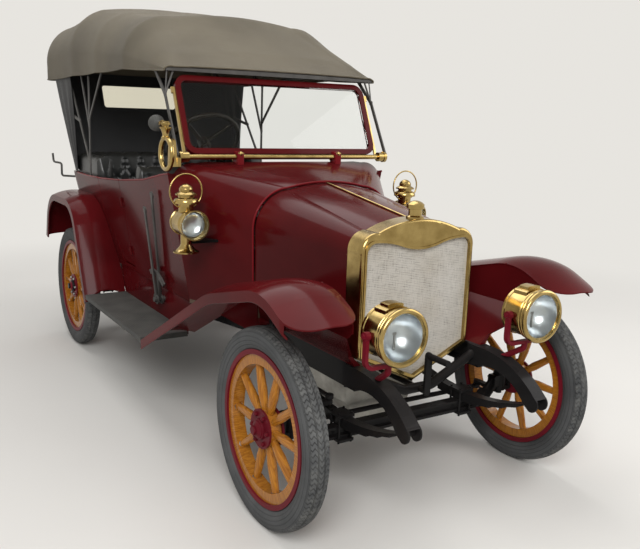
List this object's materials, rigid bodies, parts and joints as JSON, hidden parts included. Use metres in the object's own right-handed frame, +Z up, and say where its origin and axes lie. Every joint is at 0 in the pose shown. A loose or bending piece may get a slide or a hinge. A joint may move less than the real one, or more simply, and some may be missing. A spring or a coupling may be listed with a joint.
{
  "type": "touring car",
  "caption": "Open brass-era touring car with a raised cloth hood, brass radiator and lamps, wood-spoked wheels, linked steering, opening doors and bonnet halves.",
  "frame": {"origin": "on the ground under the middle of the car's bounding box", "axes": "the car faces -Y, its left side is +X, +Z is up"},
  "size_m": [1.49, 3.775, 2.1546],
  "materials": {
    "body_paint": "gloss",
    "chassis_black": "satin",
    "wheel_red": "gloss",
    "spoke_wood": "varnished",
    "tyre_rubber": "matte",
    "brass": "polished",
    "core_metal": "satin",
    "crankcase_aluminium": "matte",
    "hood_cloth": "matte",
    "curtain_black": "satin",
    "seat_leather": "satin",
    "clear_glass": "gloss",
    "board_mat": "matte",
    "lever_steel": "satin",
    "wheel_rim_black": "gloss"
  },
  "bodies": {
    "chassis": {"back_curtain": "curtain_black", "body_tub": "body_paint", "bonnet_hinge_rod": "brass", "chassis_frame": "chassis_black", "control_levers": "lever_steel", "engine": "crankcase_aluminium", "exhaust": "chassis_black", "floor": "spoke_wood", "floor_mats": "board_mat", "front_axle": "chassis_black", "front_backrest": "seat_leather", "front_cushion": "seat_leather", "front_mudguards": "body_paint", "headlamp_bodies": "brass", "headlamp_brackets": "wheel_red", "hood_canopy": "hood_cloth", "hood_irons": "chassis_black", "horn": "brass", "lamp_lenses": "clear_glass", "leaf_springs": "chassis_black", "radiator_core": "core_metal", "radiator_shell": "brass", "rear_axle": "chassis_black", "rear_backrest": "seat_leather", "rear_cushion": "seat_leather", "rear_mudguards": "body_paint", "rear_window": "clear_glass", "running_boards": "board_mat", "scuttle": "body_paint", "sidelamp_bodies": "brass", "sidelamp_brackets": "chassis_black", "splash_aprons": "body_paint", "starting_handle": "chassis_black", "steering_column": "chassis_black", "windscreen_frame": "body_paint", "windscreen_glass": "clear_glass", "windscreen_rail": "brass"},
    "knuckle_right": {"knuckle_right": "chassis_black"},
    "knuckle_left": {"knuckle_left": "chassis_black"},
    "track_rod": {"track_rod": "chassis_black"},
    "drag_link": {"drag_link": "chassis_black"},
    "drop_arm": {"drop_arm": "chassis_black"},
    "steering_wheel": {"steering_wheel": "wheel_rim_black"},
    "bonnet_right": {"bonnet_right": "body_paint"},
    "bonnet_left": {"bonnet_left": "body_paint"},
    "door_rear_right": {"door_rear_right": "body_paint"},
    "door_rear_left": {"door_rear_left": "body_paint"},
    "door_front_left": {"door_front_left": "body_paint"},
    "wheel_front_right": {"tyre_front_right": "tyre_rubber", "spokes_front_right": "spoke_wood", "rim_front_right": "wheel_red"},
    "wheel_front_left": {"tyre_front_left": "tyre_rubber", "spokes_front_left": "spoke_wood", "rim_front_left": "wheel_red"},
    "wheel_rear_right": {"tyre_rear_right": "tyre_rubber", "spokes_rear_right": "spoke_wood", "rim_rear_right": "wheel_red"},
    "wheel_rear_left": {"tyre_rear_left": "tyre_rubber", "spokes_rear_left": "spoke_wood", "rim_rear_left": "wheel_red"}
  },
  "joints": [
    {"name": "kingpin_right", "type": "hinge", "parent": "chassis", "child": "knuckle_right", "pos_m": [-0.545, -1.4375, 0.38], "axis": [0, 0, 1], "range_deg": [-27, 27]},
    {"name": "kingpin_left", "type": "hinge", "parent": "chassis", "child": "knuckle_left", "pos_m": [0.545, -1.4375, 0.38], "axis": [0, 0, 1], "range_deg": [-27, 27]},
    {"name": "track_rod_swing", "type": "hinge", "parent": "knuckle_right", "child": "track_rod", "pos_m": [-0.545, -1.2975, 0.3227], "axis": [0, 0, 1], "range_deg": [-27, 27]},
    {"name": "drag_link_swing", "type": "hinge", "parent": "knuckle_right", "child": "drag_link", "pos_m": [-0.375, -1.4375, 0.4563], "axis": [0, 0, 1], "range_deg": [-27, 27]},
    {"name": "drop_arm_swing", "type": "hinge", "parent": "chassis", "child": "drop_arm", "pos_m": [-0.375, -0.9375, 0.6263], "axis": [1, 0, 0], "range_deg": [-27, 27]},
    {"name": "steering_wheel_turn", "type": "hinge", "parent": "chassis", "child": "steering_wheel", "pos_m": [-0.3, -0.0575, 1.362], "axis": [0, 0.766, 0.6428], "range_deg": [-270, 270]},
    {"name": "wheel_front_right_roll", "type": "hinge", "parent": "knuckle_right", "child": "wheel_front_right", "pos_m": [-0.645, -1.4375, 0.38], "axis": [1, 0, 0], "continuous": true},
    {"name": "wheel_front_left_roll", "type": "hinge", "parent": "knuckle_left", "child": "wheel_front_left", "pos_m": [0.645, -1.4375, 0.38], "axis": [1, 0, 0], "continuous": true},
    {"name": "wheel_rear_right_roll", "type": "hinge", "parent": "chassis", "child": "wheel_rear_right", "pos_m": [-0.645, 1.1725, 0.38], "axis": [1, 0, 0], "continuous": true},
    {"name": "wheel_rear_left_roll", "type": "hinge", "parent": "chassis", "child": "wheel_rear_left", "pos_m": [0.645, 1.1725, 0.38], "axis": [1, 0, 0], "continuous": true},
    {"name": "bonnet_right_lift", "type": "hinge", "parent": "chassis", "child": "bonnet_right", "pos_m": [0, -1.3825, 1.1323], "axis": [0, 0.9902, 0.1398], "range_deg": [0, 80]},
    {"name": "bonnet_left_lift", "type": "hinge", "parent": "chassis", "child": "bonnet_left", "pos_m": [0, -1.3825, 1.1323], "axis": [0, -0.9902, -0.1398], "range_deg": [0, 80]},
    {"name": "door_rear_right_swing", "type": "hinge", "parent": "chassis", "child": "door_rear_right", "pos_m": [-0.5679, 0.42, 0.89894], "axis": [-0.1772, 0, 0.9842], "range_deg": [0, 70]},
    {"name": "door_rear_left_swing", "type": "hinge", "parent": "chassis", "child": "door_rear_left", "pos_m": [0.5679, 0.42, 0.89894], "axis": [-0.1772, 0, -0.9842], "range_deg": [0, 70]},
    {"name": "door_front_left_swing", "type": "hinge", "parent": "chassis", "child": "door_front_left", "pos_m": [0.5679, -0.35, 0.89894], "axis": [-0.1772, 0, -0.9842], "range_deg": [0, 70]}
  ],
  "couplings": [
    {"joint": "kingpin_left", "follows": "kingpin_right", "ratio": 1},
    {"joint": "track_rod_swing", "follows": "kingpin_right", "ratio": -1},
    {"joint": "drag_link_swing", "follows": "kingpin_right", "ratio": -1},
    {"joint": "drop_arm_swing", "follows": "kingpin_right", "ratio": 1},
    {"joint": "steering_wheel_turn", "follows": "kingpin_right", "ratio": 10}
  ]
}
